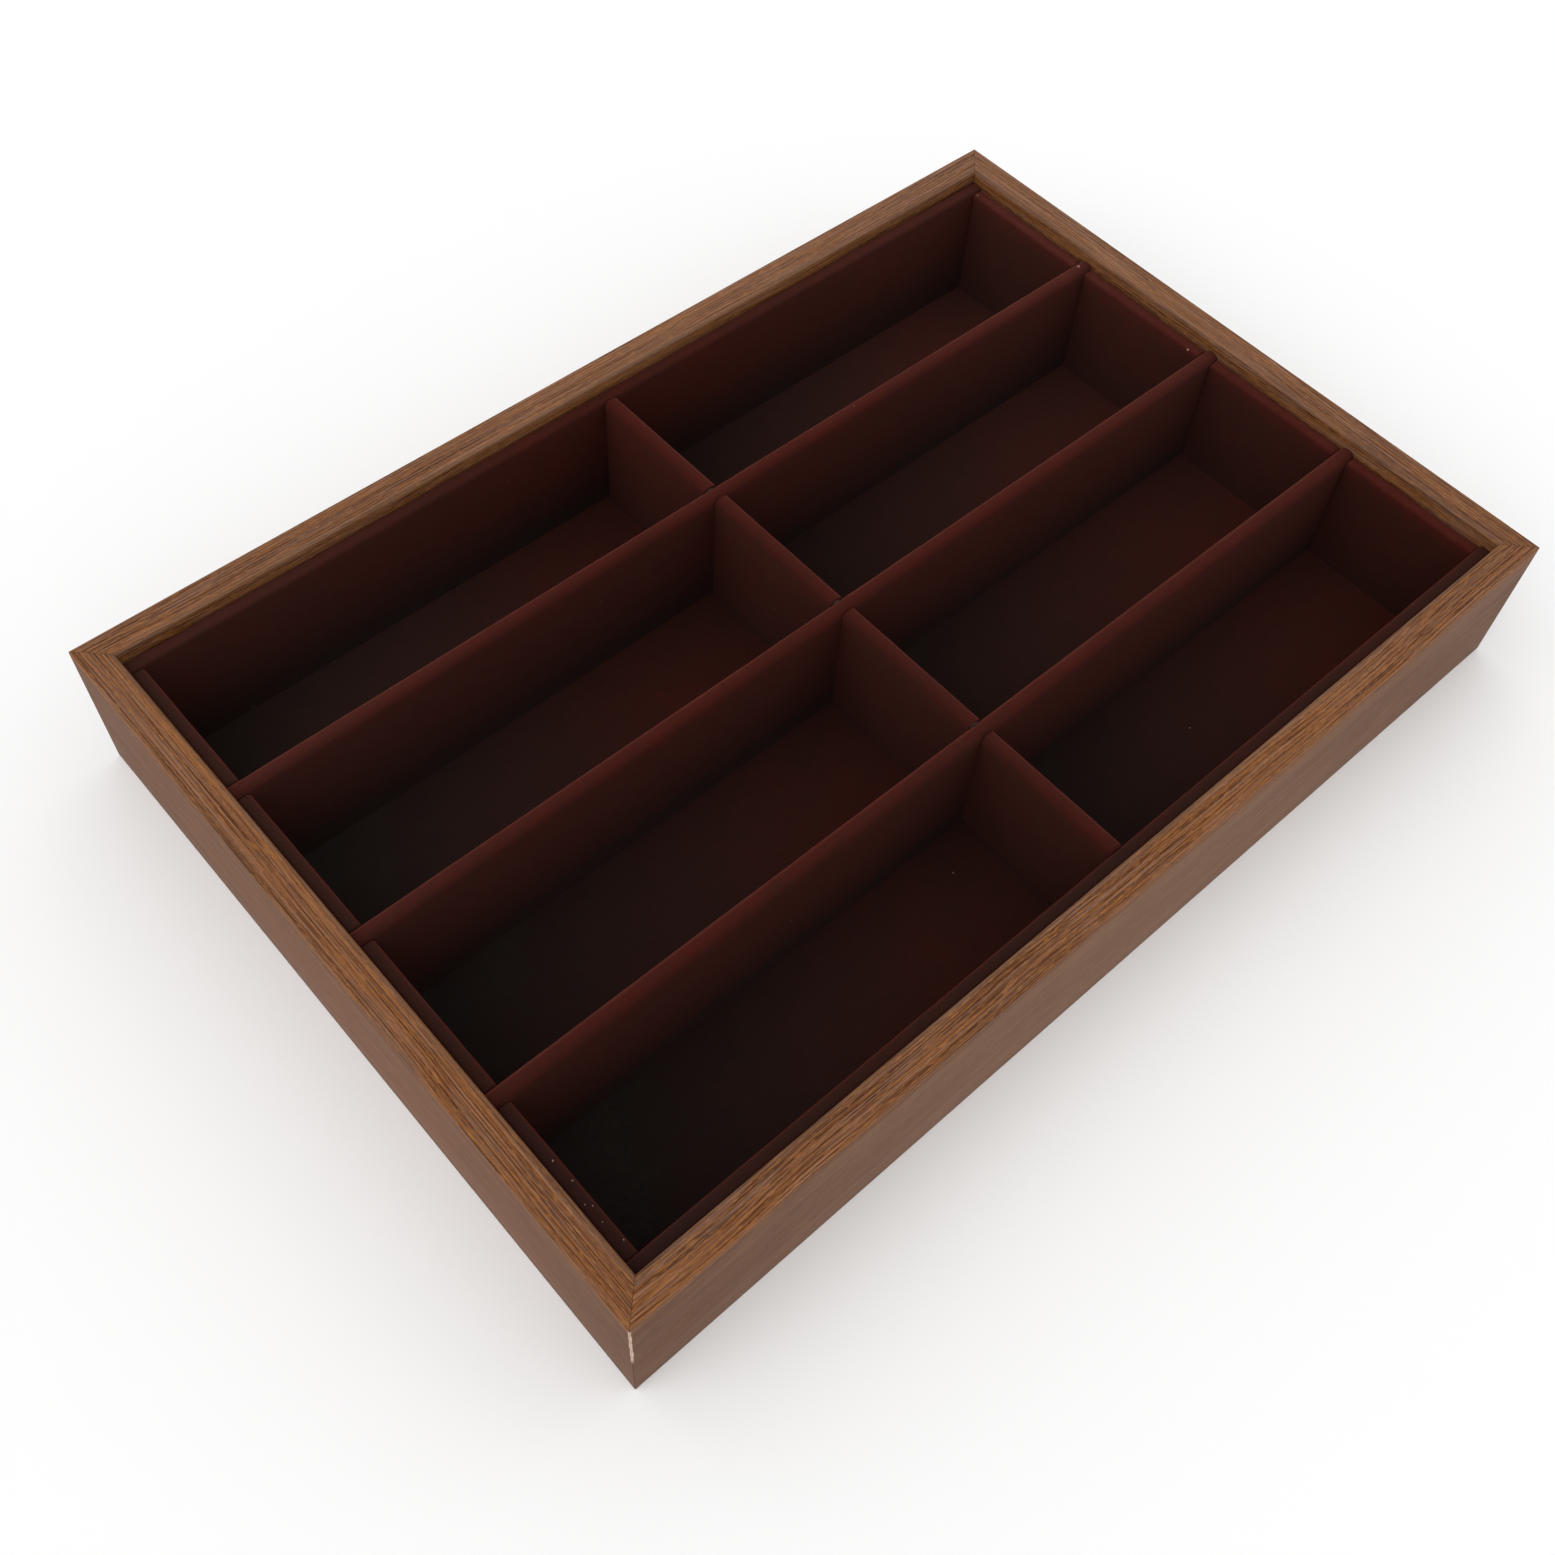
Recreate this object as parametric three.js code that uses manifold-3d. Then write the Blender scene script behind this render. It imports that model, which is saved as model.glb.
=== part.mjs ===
// Sunglass organizer tray: four mitred wood rails round a velvet-lined well, with a lift-out grid of
// velvet-covered dividers, three long ones halved over one cross divider.
// Millimetres, +Z up. X runs along the long rails and Y from front to back. The origin is the middle of
// the surface that the tray stands on.
import * as THREE from "three";
import { mergeVertices } from "three/addons/utils/BufferGeometryUtils.js";
import Module from "manifold-3d";

// Outside of the tray
const TRAY_LENGTH = 350;
const TRAY_WIDTH = 240;
const TRAY_HEIGHT = 50;

// Rails
const RAIL_THICKNESS = 9;
const RAIL_EDGE_ROUND = 0.5;
const RIM_INNER_ROUND = 1.2;
const MITRE_GLUE_LINE = 0.08;
const REBATE_WIDTH = 4.5;

// Base board, let into the rebate a little above the rails' lower edges
const BASE_THICKNESS = 2.5;
const BASE_RECESS = 0.3;
const BASE_CLEARANCE = 0.3;

// Corner nails: bent steel strips driven up across each mitre from below
const NAIL_LEG = 4;
const NAIL_STEEL = 0.5;
const NAIL_HEIGHT = 9;
const NAIL_SINK = 0.4;

// Wire staples that hold the base board to the rails
const STAPLE_CROWN = 10;
const STAPLE_WIRE = 0.7;
const STAPLE_LEG = 7;
const STAPLES_PER_LONG_RAIL = 3;
const STAPLES_PER_SHORT_RAIL = 2;
const FASTENER_CLEARANCE = 0.1;

// Velvet-covered card, the make-up of every liner and divider
const LINER_CARD = 2.2;
const DIVIDER_CARD = 3;
const VELVET_THICKNESS = 0.95;
const GLUE_FILM = 0.05;
const LINER_FOLD_ROUND = 1.2;
const LINER_END_ROUND = 1.3;
const LINER_TURN_OVER = 12;
const DIVIDER_FOLD_ROUND = 2.2;
const DIVIDER_END_ROUND = 1.6;

// Where the panels stand in the well, with the long dividers' pitch from middle to middle
const FLOOR_CLEARANCE = 0.3;
const LONG_LINER_BELOW_RIM = 4;
const SHORT_LINER_BELOW_RIM = 4.7;
const LINER_CLEARANCE = 0.3;
const DIVIDER_PITCH = 56.1;
const DIVIDER_BELOW_RIM = 3.6;
const DIVIDER_CLEARANCE = 0.4;
const DIVIDER_FOOT_CLEARANCE = 0.2;
const SEAT_CLEARANCE = 0.3;
const LAP_CLEARANCE = 0.3;
const LONG_DIVIDERS = ["front", "middle", "back"];

// Drawing values: how far a cutter runs past a face, and the steps of a rounded edge
const OVERRUN = 1;
const ARC_STEPS = 4;

// Finishes
const WALNUT = { color: 0x794d34, roughness: 0.45, metalness: 0 };
const HARDBOARD = { color: 0x7b5b3e, roughness: 0.8, metalness: 0 };
const STEEL = { color: 0xb4b4b8, roughness: 0.35, metalness: 1 };
const GREYBOARD = { color: 0x8c8378, roughness: 0.9, metalness: 0 };
const VELVET = { color: 0x3c1a15, roughness: 1, metalness: 0 };

// Sizes that follow from those above
const innerLength = TRAY_LENGTH - 2 * RAIL_THICKNESS;
const innerWidth = TRAY_WIDTH - 2 * RAIL_THICKNESS;
const footWidth = RAIL_THICKNESS - REBATE_WIDTH;
const baseTop = BASE_RECESS + BASE_THICKNESS;
const rebateHeight = baseTop + GLUE_FILM;
const floorTop = baseTop + GLUE_FILM + VELVET_THICKNESS;
const coverThickness = VELVET_THICKNESS + GLUE_FILM;
const linerThickness = LINER_CARD + 2 * coverThickness;
const linerFoot = floorTop + GLUE_FILM;
const longLinerHeight = TRAY_HEIGHT - LONG_LINER_BELOW_RIM - linerFoot;
const shortLinerHeight = TRAY_HEIGHT - SHORT_LINER_BELOW_RIM - linerFoot;
const linerSetback = LINER_CLEARANCE + linerThickness / 2;
const wellHalfWidth = innerWidth / 2 - LINER_CLEARANCE - linerThickness;
const dividerThickness = DIVIDER_CARD + 2 * coverThickness;
const dividerFoot = floorTop + DIVIDER_FOOT_CLEARANCE;
const dividerHeight = TRAY_HEIGHT - DIVIDER_BELOW_RIM - dividerFoot;
const dividerPlaces = LONG_DIVIDERS.map((_, i) => (i - (LONG_DIVIDERS.length - 1) / 2) * DIVIDER_PITCH);
const lapSlotWidth = dividerThickness + 2 * LAP_CLEARANCE;

// The sides and corners of the tray, a quarter turn apart, each seen from outside as the front is
const SIDES = [
  { name: "front", length: TRAY_LENGTH, depth: TRAY_WIDTH, staples: STAPLES_PER_LONG_RAIL },
  { name: "right", length: TRAY_WIDTH, depth: TRAY_LENGTH, staples: STAPLES_PER_SHORT_RAIL },
  { name: "back", length: TRAY_LENGTH, depth: TRAY_WIDTH, staples: STAPLES_PER_LONG_RAIL },
  { name: "left", length: TRAY_WIDTH, depth: TRAY_LENGTH, staples: STAPLES_PER_SHORT_RAIL },
];
const CORNERS = ["front_left", "front_right", "back_right", "back_left"];
const QUARTER_TURN = Math.PI / 2;

const wasm = await Module();
wasm.setup();

// Cutting and joining of closed geometries

function solidOf(geometry) {
  const bare = new THREE.BufferGeometry();
  bare.setAttribute("position", geometry.getAttribute("position"));
  bare.setIndex(geometry.getIndex());
  const merged = mergeVertices(bare);
  const vertProperties = merged.getAttribute("position").array;
  const triVerts = new Uint32Array(merged.getIndex().array);
  return new wasm.Manifold(new wasm.Mesh({ numProp: 3, vertProperties, triVerts }));
}

function geometryOf(solid) {
  const mesh = solid.getMesh();
  const geometry = new THREE.BufferGeometry();
  geometry.setAttribute("position", new THREE.BufferAttribute(mesh.vertProperties, 3));
  geometry.setIndex(new THREE.BufferAttribute(mesh.triVerts, 1));
  geometry.computeVertexNormals();
  return geometry;
}

function cut(geometry, cutters) {
  const rest = cutters.reduce((solid, cutter) => solid.subtract(solidOf(cutter)), solidOf(geometry));
  return geometryOf(rest);
}

function common(first, second) {
  return geometryOf(solidOf(first).intersect(solidOf(second)));
}

// Boxes and extrusions, each centred on the axis that it runs along

function boxBetween(low, high) {
  const size = new THREE.Vector3().subVectors(high, low);
  const middle = new THREE.Vector3().addVectors(low, high).multiplyScalar(0.5);
  const box = new THREE.BoxGeometry(size.x, size.y, size.z);
  return box.translate(middle.x, middle.y, middle.z);
}

function extrusion(outline, depth) {
  const settings = { depth, bevelEnabled: false, curveSegments: ARC_STEPS };
  return new THREE.ExtrudeGeometry(outline, settings);
}

// An outline drawn in Y and Z, run along X
function extrudeAlongX(outline, length) {
  const turn = new THREE.Matrix4().makeBasis(
    new THREE.Vector3(0, 1, 0),
    new THREE.Vector3(0, 0, 1),
    new THREE.Vector3(1, 0, 0),
  );
  return extrusion(outline, length).translate(0, 0, -length / 2).applyMatrix4(turn);
}

// An outline drawn in X and Z, run along Y
function extrudeAlongY(outline, depth) {
  const turn = new THREE.Matrix4().makeBasis(
    new THREE.Vector3(1, 0, 0),
    new THREE.Vector3(0, 0, 1),
    new THREE.Vector3(0, -1, 0),
  );
  return extrusion(outline, depth).translate(0, 0, -depth / 2).applyMatrix4(turn);
}

function polygon(points) {
  return new THREE.Shape(points.map(([x, y]) => new THREE.Vector2(x, y)));
}

// A rectangle standing on the line at low, with its two upper corners rounded
function archedOutline(width, low, high, round) {
  const outline = new THREE.Shape();
  outline.moveTo(-width / 2, low);
  outline.lineTo(width / 2, low);
  outline.lineTo(width / 2, high - round);
  outline.absarc(width / 2 - round, high - round, round, 0, QUARTER_TURN);
  outline.lineTo(-width / 2 + round, high);
  outline.absarc(-width / 2 + round, high - round, round, QUARTER_TURN, 2 * QUARTER_TURN);
  outline.closePath();
  return outline;
}

function piece(name, geometry, finish) {
  const mesh = new THREE.Mesh(geometry, new THREE.MeshStandardMaterial(finish));
  mesh.name = name;
  return mesh;
}

// Rails: X along the rail, Y inwards from its outer face

function railProfile() {
  const round = RAIL_EDGE_ROUND;
  const inner = RIM_INNER_ROUND;
  const profile = new THREE.Shape();
  profile.moveTo(round, 0);
  profile.lineTo(footWidth, 0);
  profile.lineTo(footWidth, rebateHeight);
  profile.lineTo(RAIL_THICKNESS, rebateHeight);
  profile.lineTo(RAIL_THICKNESS, TRAY_HEIGHT - inner);
  profile.absarc(RAIL_THICKNESS - inner, TRAY_HEIGHT - inner, inner, 0, QUARTER_TURN);
  profile.lineTo(round, TRAY_HEIGHT);
  profile.absarc(round, TRAY_HEIGHT - round, round, QUARTER_TURN, 2 * QUARTER_TURN);
  profile.lineTo(0, round);
  profile.absarc(round, round, round, 2 * QUARTER_TURN, 3 * QUARTER_TURN);
  return profile;
}

// The profile's two ends are drawn back by as much as they lie inwards, which mitres both
function mitredBar(length) {
  const bar = extrudeAlongX(railProfile(), 2);
  const setback = MITRE_GLUE_LINE * Math.SQRT1_2;
  const position = bar.getAttribute("position");
  for (let i = 0; i < position.count; i += 1) {
    const reach = length / 2 - setback - position.getY(i);
    position.setX(i, Math.sign(position.getX(i)) * reach);
  }
  return bar;
}

// Corner nail: an L in plan, its origin at the tray's outer corner and its legs along the two rails
function nailGeometry(clearance, low, high) {
  const near = footWidth / 2 - NAIL_STEEL / 2 - clearance;
  const far = footWidth / 2 + NAIL_STEEL / 2 + clearance;
  const tip = footWidth / 2 + NAIL_LEG + clearance;
  const plan = polygon([
    [near, near],
    [tip, near],
    [tip, far],
    [far, far],
    [far, tip],
    [near, tip],
  ]);
  return extrusion(plan, high - low).translate(0, 0, low);
}

function nailKerf() {
  const top = NAIL_SINK + NAIL_HEIGHT + FASTENER_CLEARANCE;
  return nailGeometry(FASTENER_CLEARANCE, -OVERRUN, top);
}

// Staple: a U standing on its crown, drawn in the frame of the rail that it holds
function stapleGeometry(clearance, low) {
  const outside = STAPLE_CROWN / 2 + clearance;
  const inside = STAPLE_CROWN / 2 - STAPLE_WIRE - clearance;
  const crownTop = BASE_RECESS + STAPLE_WIRE + clearance;
  const legTop = BASE_RECESS + STAPLE_LEG + clearance;
  const outline = polygon([
    [-outside, low],
    [outside, low],
    [outside, legTop],
    [inside, legTop],
    [inside, crownTop],
    [-inside, crownTop],
    [-inside, legTop],
    [-outside, legTop],
  ]);
  const line = RAIL_THICKNESS - REBATE_WIDTH / 2;
  return extrudeAlongY(outline, STAPLE_WIRE + 2 * clearance).translate(0, line, 0);
}

function staplePlaces(side) {
  const step = side.length / side.staples;
  return Array.from({ length: side.staples }, (_, i) => (i + 0.5) * step - side.length / 2);
}

function stapleChannels(side) {
  return staplePlaces(side).map((x) => stapleGeometry(FASTENER_CLEARANCE, -OVERRUN).translate(x, 0, 0));
}

function railGeometry(side) {
  const kerfs = [
    nailKerf().translate(-side.length / 2, 0, 0),
    nailKerf().rotateZ(QUARTER_TURN).translate(side.length / 2, 0, 0),
  ];
  return cut(mitredBar(side.length), [...kerfs, ...stapleChannels(side)]);
}

function sideGroup(side, turns) {
  const group = new THREE.Group();
  group.rotation.z = turns * QUARTER_TURN;
  group.position.set(0, -side.depth / 2, 0).applyEuler(group.rotation);
  group.updateMatrix();
  return group;
}

function buildSide(side, turns) {
  const group = sideGroup(side, turns);
  group.add(piece(`${side.name}_rail`, railGeometry(side), WALNUT));
  staplePlaces(side).forEach((x, i) => {
    const staple = piece(`base_staple_${side.name}_${i + 1}`, stapleGeometry(0, BASE_RECESS), STEEL);
    staple.position.x = x;
    group.add(staple);
  });
  return group;
}

function buildCornerNail(corner, turns) {
  const nail = piece(`corner_nail_${corner}`, nailGeometry(0, NAIL_SINK, NAIL_SINK + NAIL_HEIGHT), STEEL);
  const right = corner.endsWith("right") ? 1 : -1;
  const back = corner.startsWith("back") ? 1 : -1;
  nail.position.set((right * TRAY_LENGTH) / 2, (back * TRAY_WIDTH) / 2, 0);
  nail.rotation.z = turns * QUARTER_TURN;
  return nail;
}

// Base board with the channels of its staples, and the velvet of the floor

function buildBase() {
  const reach = new THREE.Vector3(TRAY_LENGTH / 2, TRAY_WIDTH / 2, 0);
  reach.subScalar(footWidth + BASE_CLEARANCE);
  const board = boxBetween(
    new THREE.Vector3(-reach.x, -reach.y, BASE_RECESS),
    new THREE.Vector3(reach.x, reach.y, baseTop),
  );
  const channels = SIDES.flatMap((side, turns) => {
    const place = sideGroup(side, turns).matrix;
    return stapleChannels(side).map((channel) => channel.applyMatrix4(place));
  });
  return piece("base_board", cut(board, channels), HARDBOARD);
}

function buildFloor() {
  const sheet = new THREE.BoxGeometry(
    innerLength - 2 * FLOOR_CLEARANCE,
    innerWidth - 2 * FLOOR_CLEARANCE,
    VELVET_THICKNESS,
  );
  const floor = piece("floor_velvet", sheet, VELVET);
  floor.position.z = floorTop - VELVET_THICKNESS / 2;
  return floor;
}

// Wrapped panels: X along the panel, Y through it with the wall side at +Y, Z up from its foot.
// The velvet is folded over the top edge and both ends, and the foot is left bare.

function lapCutters(slots) {
  const half = new THREE.Vector3(lapSlotWidth / 2, dividerThickness, 0);
  return slots.map(({ at, low, high }) =>
    boxBetween(
      new THREE.Vector3(at - half.x, -half.y, low),
      new THREE.Vector3(at + half.x, half.y, high),
    ),
  );
}

function cardGeometry({ length, height, card, endRound, slots }) {
  const outline = archedOutline(
    length - 2 * coverThickness,
    0,
    height - coverThickness,
    endRound - coverThickness,
  );
  return cut(extrudeAlongY(outline, card), lapCutters(slots));
}

function velvetGeometry({ length, height, card, foldRound, endRound, turnOver, slots }) {
  const thickness = card + 2 * coverThickness;
  const section = archedOutline(thickness, 0, height, foldRound);
  const elevation = archedOutline(length, 0, height, endRound);
  const outside = common(extrudeAlongX(section, length), extrudeAlongY(elevation, thickness));
  const hollow = archedOutline(
    length - 2 * VELVET_THICKNESS,
    -OVERRUN,
    height - VELVET_THICKNESS,
    endRound - VELVET_THICKNESS,
  );
  const bareBack = boxBetween(
    new THREE.Vector3(-length, card / 2 + GLUE_FILM, -OVERRUN),
    new THREE.Vector3(length, thickness, height - turnOver),
  );
  const core = extrudeAlongY(hollow, card + 2 * GLUE_FILM);
  const cutters = turnOver < height ? [core, bareBack] : [core];
  return cut(outside, [...cutters, ...lapCutters(slots)]);
}

function wrappedPanel(name, panel) {
  const group = new THREE.Group();
  group.add(piece(`${name}_card`, cardGeometry(panel), GREYBOARD));
  group.add(piece(`${name}_velvet`, velvetGeometry(panel), VELVET));
  return group;
}

function linerPanel(name, length, height) {
  return wrappedPanel(name, {
    length,
    height,
    card: LINER_CARD,
    foldRound: LINER_FOLD_ROUND,
    endRound: LINER_END_ROUND,
    turnOver: LINER_TURN_OVER,
    slots: [],
  });
}

function dividerPanel(name, length, slots) {
  return wrappedPanel(name, {
    length,
    height: dividerHeight,
    card: DIVIDER_CARD,
    foldRound: DIVIDER_FOLD_ROUND,
    endRound: DIVIDER_END_ROUND,
    turnOver: dividerHeight,
    slots,
  });
}

// Liners: one panel along each long rail, and short lengths between the dividers along the short rails

function buildLongLiner(name, turns) {
  const liner = linerPanel(name, innerLength - 2 * LINER_CLEARANCE, longLinerHeight);
  liner.rotation.z = turns * QUARTER_TURN;
  liner.position.set(0, innerWidth / 2 - linerSetback, linerFoot).applyEuler(liner.rotation);
  return liner;
}

// The stretches of a short wall that the long dividers leave free, from front to back
function shortLinerSpans() {
  const halfSeat = dividerThickness / 2;
  const starts = [-wellHalfWidth, ...dividerPlaces.map((y) => y + halfSeat)];
  const ends = [...dividerPlaces.map((y) => y - halfSeat), wellHalfWidth];
  return starts.map((start, i) => ({ low: start + SEAT_CLEARANCE, high: ends[i] - SEAT_CLEARANCE }));
}

function buildShortLiner(name, side, span) {
  const liner = linerPanel(name, span.high - span.low, shortLinerHeight);
  liner.rotation.z = -side * QUARTER_TURN;
  liner.position.set(side * (innerLength / 2 - linerSetback), (span.low + span.high) / 2, linerFoot);
  return liner;
}

// Dividers: the long ones are slotted from below and sit over the cross divider, slotted from above

function buildLongDivider(name, y) {
  const slot = { at: 0, low: -OVERRUN, high: (dividerHeight + LAP_CLEARANCE) / 2 };
  const divider = dividerPanel(`${name}_divider`, innerLength - 2 * DIVIDER_CLEARANCE, [slot]);
  divider.position.set(0, y, dividerFoot);
  return divider;
}

function buildCrossDivider() {
  const low = (dividerHeight - LAP_CLEARANCE) / 2;
  const slots = dividerPlaces.map((at) => ({ at, low, high: dividerHeight + OVERRUN }));
  const divider = dividerPanel("cross_divider", 2 * (wellHalfWidth - DIVIDER_CLEARANCE), slots);
  divider.rotation.z = QUARTER_TURN;
  divider.position.z = dividerFoot;
  return divider;
}

const tray = new THREE.Group();
SIDES.forEach((side, turns) => tray.add(buildSide(side, turns)));
CORNERS.forEach((corner, turns) => tray.add(buildCornerNail(corner, turns)));
tray.add(buildBase());
tray.add(buildFloor());
tray.add(buildLongLiner("back_liner", 0));
tray.add(buildLongLiner("front_liner", 2));
shortLinerSpans().forEach((span, i) => {
  tray.add(buildShortLiner(`left_liner_${i + 1}`, -1, span));
  tray.add(buildShortLiner(`right_liner_${i + 1}`, 1, span));
});
tray.add(buildCrossDivider());
LONG_DIVIDERS.forEach((name, i) => tray.add(buildLongDivider(name, dividerPlaces[i])));

export default tray;
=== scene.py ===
"""Looks of a sunglass organizer tray: satin walnut rails round a velvet-lined well, which a lift-out grid
of velvet-covered dividers splits into eight compartments. Metres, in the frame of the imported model."""

import logging
import math
from collections.abc import Iterable, Sequence
from dataclasses import dataclass, field
from enum import Enum

import bmesh
import bpy
from mathutils import Matrix, Vector, noise


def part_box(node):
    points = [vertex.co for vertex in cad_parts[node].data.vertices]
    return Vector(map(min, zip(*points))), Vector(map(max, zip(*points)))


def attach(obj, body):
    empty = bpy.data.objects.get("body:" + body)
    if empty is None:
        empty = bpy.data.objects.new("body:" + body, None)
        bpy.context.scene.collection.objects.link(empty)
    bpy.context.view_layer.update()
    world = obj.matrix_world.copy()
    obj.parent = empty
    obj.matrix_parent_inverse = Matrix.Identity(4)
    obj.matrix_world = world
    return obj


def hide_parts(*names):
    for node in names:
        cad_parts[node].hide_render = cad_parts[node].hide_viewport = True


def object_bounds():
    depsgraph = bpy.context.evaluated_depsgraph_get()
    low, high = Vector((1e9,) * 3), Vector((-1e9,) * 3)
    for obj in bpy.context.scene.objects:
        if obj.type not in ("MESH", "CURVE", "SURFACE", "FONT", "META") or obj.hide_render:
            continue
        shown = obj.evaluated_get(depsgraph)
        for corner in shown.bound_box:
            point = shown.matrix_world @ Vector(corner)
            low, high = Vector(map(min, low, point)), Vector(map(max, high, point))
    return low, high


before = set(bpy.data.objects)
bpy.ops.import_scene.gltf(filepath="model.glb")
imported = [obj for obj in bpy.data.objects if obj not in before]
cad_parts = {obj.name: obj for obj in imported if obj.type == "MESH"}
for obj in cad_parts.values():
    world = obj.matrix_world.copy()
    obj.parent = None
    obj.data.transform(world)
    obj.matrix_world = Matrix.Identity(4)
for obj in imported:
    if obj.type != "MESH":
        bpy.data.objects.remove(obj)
CAD_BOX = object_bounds()

MM = 0.001
TINY = 1e-6

# Finishes measure in millimetres from the tray's middle and its foot.
HALF_SIDES = (CAD_BOX[1][0] / MM, CAD_BOX[1][1] / MM)
RIM = CAD_BOX[1][2] / MM
RAIL = (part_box("front_rail")[1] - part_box("front_rail")[0]).y / MM

# Where noise from 0 to 1 mostly lies, its mean, and the length of one wave texture's wave at scale 1.
NOISE_RANGE = (0.3, 0.7)
NOISE_MEAN = 0.5
WAVE_LENGTH = 0.628

Colour = tuple[float, float, float]
Waves = tuple[float, float, float]
Pair = tuple[float, float]
Socket = bpy.types.NodeSocket

log = logging.getLogger("tray")


def tint(red: int, green: int, blue: int) -> Colour:
    """Turns a colour as a screen shows it, 0 to 255, into the linear one that a shader takes.

    Args:
        red: Red as shown.
        green: Green as shown.
        blue: Blue as shown.

    Returns:
        The linear colour, 0 to 1.
    """

    def linear(value: int) -> float:
        """One channel made linear."""
        share = value / 255
        return share / 12.92 if share <= 0.04045 else ((share + 0.055) / 1.055) ** 2.4

    return linear(red), linear(green), linear(blue)


class Axis(Enum):
    """The two level directions of the tray, by their place in a vector."""

    LONG = 0
    SHORT = 1


class Wrap(Enum):
    """How far the velvet of a panel comes down its back."""

    TURNED_OVER = "turned over the top edge only"
    BOTH_FACES = "down both faces"


class Bench:
    """Lays out and links the nodes of one material."""

    def __init__(self, name: str) -> None:
        """Starts a material with an empty principled shader.

        Args:
            name: The material's name.
        """
        self.material = bpy.data.materials.new(name)
        self.material.use_nodes = True
        self.tree = self.material.node_tree
        self.shader = self.tree.nodes["Principled BSDF"]

    def node(self, kind: str, sockets: dict[str | int, object], **settings: object) -> bpy.types.Node:
        """Adds a node.

        Args:
            kind: The node's type, without the common first part of its name.
            sockets: Values or sockets for its inputs, by name or place.
            settings: Its other properties.

        Returns:
            The node.
        """
        made = self.tree.nodes.new(f"ShaderNode{kind}")
        for name, value in settings.items():
            setattr(made, name, value)
        for key, value in sockets.items():
            self.feed(made.inputs[key], value)
        return made

    def feed(self, target: Socket, value: object) -> None:
        """Links a socket to an input, or sets the input's own value.

        Args:
            target: The input.
            value: A socket, a number, a vector or a colour.
        """
        if isinstance(value, Socket):
            self.tree.links.new(value, target)
        elif target.type == "RGBA":
            target.default_value = (*value, 1.0)
        else:
            target.default_value = value

    def shade(self, sockets: dict[str, object]) -> None:
        """Feeds inputs of the principled shader."""
        for name, value in sockets.items():
            self.feed(self.shader.inputs[name], value)

    def place(self, turn: float = 0.0) -> Socket:
        """Coordinates on the tray in millimetres.

        Args:
            turn: Quarter turns about the upright axis.

        Returns:
            The coordinates' socket.
        """
        coordinates = self.node("TexCoord", {})
        mapping = {
            "Vector": coordinates.outputs["Object"],
            "Rotation": (0.0, 0.0, turn * math.pi / 2),
            "Scale": (1 / MM, 1 / MM, 1 / MM),
        }
        return self.node("Mapping", mapping).outputs["Vector"]

    def noise(self, at: Socket, grain: Sequence[float], detail: float = 2.0) -> Socket:
        """Smooth noise from 0 to 1.

        Args:
            at: Coordinates in millimetres.
            grain: The size of one wave along each axis, in millimetres.
            detail: Octaves of finer noise.

        Returns:
            The noise's socket.
        """
        scale = tuple(1 / size for size in grain)
        stretched = self.node("Mapping", {"Vector": at, "Scale": scale}).outputs["Vector"]
        return self.node("TexNoise", {"Vector": stretched, "Scale": 1.0, "Detail": detail}).outputs[0]

    def between(self, value: Socket, low: float, high: float, to: tuple[float, float] = (0, 1)) -> Socket:
        """A smooth step.

        Args:
            value: What is tested.
            low: Where the step starts.
            high: Where it ends.
            to: The result at its start and end.

        Returns:
            The step's socket.
        """
        sockets = {"Value": value, "From Min": low, "From Max": high, "To Min": to[0], "To Max": to[1]}
        return self.node("MapRange", sockets, interpolation_type="SMOOTHSTEP").outputs[0]

    def math(self, operation: str, *values: object) -> Socket:
        """One sum on sockets or numbers."""
        return self.node("Math", dict(enumerate(values)), operation=operation).outputs[0]

    def blend(self, parts: Iterable[tuple[Socket, float]]) -> Socket:
        """A weighted sum.

        Args:
            parts: Sockets with their weights.

        Returns:
            The sum's socket.
        """
        weighted = [self.math("MULTIPLY", value, weight) for value, weight in parts]
        total = weighted[0]
        for value in weighted[1:]:
            total = self.math("ADD", total, value)
        return total

    def ramp(self, value: Socket, stops: Sequence[tuple[float, Colour]]) -> Socket:
        """A colour ramp.

        Args:
            value: Where on the ramp.
            stops: Places with their colours, in rising order.

        Returns:
            The colour's socket.
        """
        made = self.node("ValToRGB", {"Fac": value})
        elements = made.color_ramp.elements
        for element, (place, colour) in zip(elements, (stops[0], stops[-1])):
            element.position = place
            element.color = (*colour, 1.0)
        for place, colour in stops[1:-1]:
            elements.new(place).color = (*colour, 1.0)
        return made.outputs["Color"]

    def mix(self, share: Socket, first: object, second: object) -> Socket:
        """Mixes two colours.

        Args:
            share: How much of the second, 0 to 1.
            first: A colour or its socket.
            second: A colour or its socket.

        Returns:
            The colour's socket.
        """
        return self.node("Mix", {0: share, 6: first, 7: second}, data_type="RGBA").outputs[2]

    def relief(self, height: Socket, depth: float, strength: float) -> Socket:
        """A bumped normal.

        Args:
            height: Relief from 0 to 1.
            depth: The relief's depth in millimetres.
            strength: How much of it shows.

        Returns:
            The normal's socket.
        """
        sockets = {"Height": height, "Distance": depth * MM, "Strength": strength}
        return self.node("Bump", sockets).outputs["Normal"]


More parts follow.
